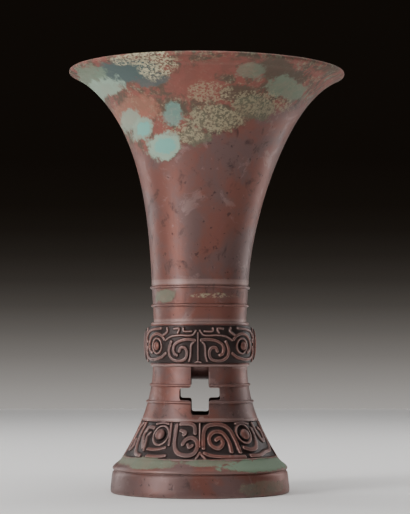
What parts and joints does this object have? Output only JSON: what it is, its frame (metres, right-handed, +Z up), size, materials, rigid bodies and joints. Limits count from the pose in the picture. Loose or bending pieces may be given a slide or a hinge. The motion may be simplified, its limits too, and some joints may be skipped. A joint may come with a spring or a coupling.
{
  "type": "bronze gu vase",
  "caption": "Ritual drinking vessel with a trumpet mouth, ribbed neck, relief waist band, cross-pierced stem and flared relief foot",
  "frame": {"origin": "middle of the foot ring's resting face", "axes": "+Z up along the vessel's axis, -Y towards the front, where one cross-shaped opening faces"},
  "size_m": [0.138, 0.138, 0.21],
  "materials": {
    "plain_bronze": "smooth aged bronze, reddish brown with a grey bloom",
    "relief_bronze": "cast relief bronze, dark in the hollows and worn on the high lines",
    "patinated_bronze": "aged bronze with mottled grey-green and tan corrosion"
  },
  "bodies": {
    "root": {"foot_rim": "plain_bronze", "foot_shoulder": "plain_bronze", "foot_frieze": "relief_bronze", "foot_boss_1": "relief_bronze", "foot_boss_2": "relief_bronze", "foot_boss_3": "relief_bronze", "foot_boss_4": "relief_bronze", "stem": "plain_bronze", "stem_bowstring_lower_left": "plain_bronze", "stem_bowstring_lower_right": "plain_bronze", "stem_bowstring_upper_left": "plain_bronze", "stem_bowstring_upper_right": "plain_bronze", "cup_floor": "plain_bronze", "waist_band": "relief_bronze", "waist_boss_1": "relief_bronze", "waist_boss_2": "relief_bronze", "waist_boss_3": "relief_bronze", "waist_boss_4": "relief_bronze", "mask_nose_left": "relief_bronze", "mask_nose_right": "relief_bronze", "neck": "plain_bronze", "neck_bowstring_lower": "plain_bronze", "neck_bowstring_upper": "plain_bronze", "trumpet": "patinated_bronze", "lip": "patinated_bronze"}
  },
  "joints": []
}
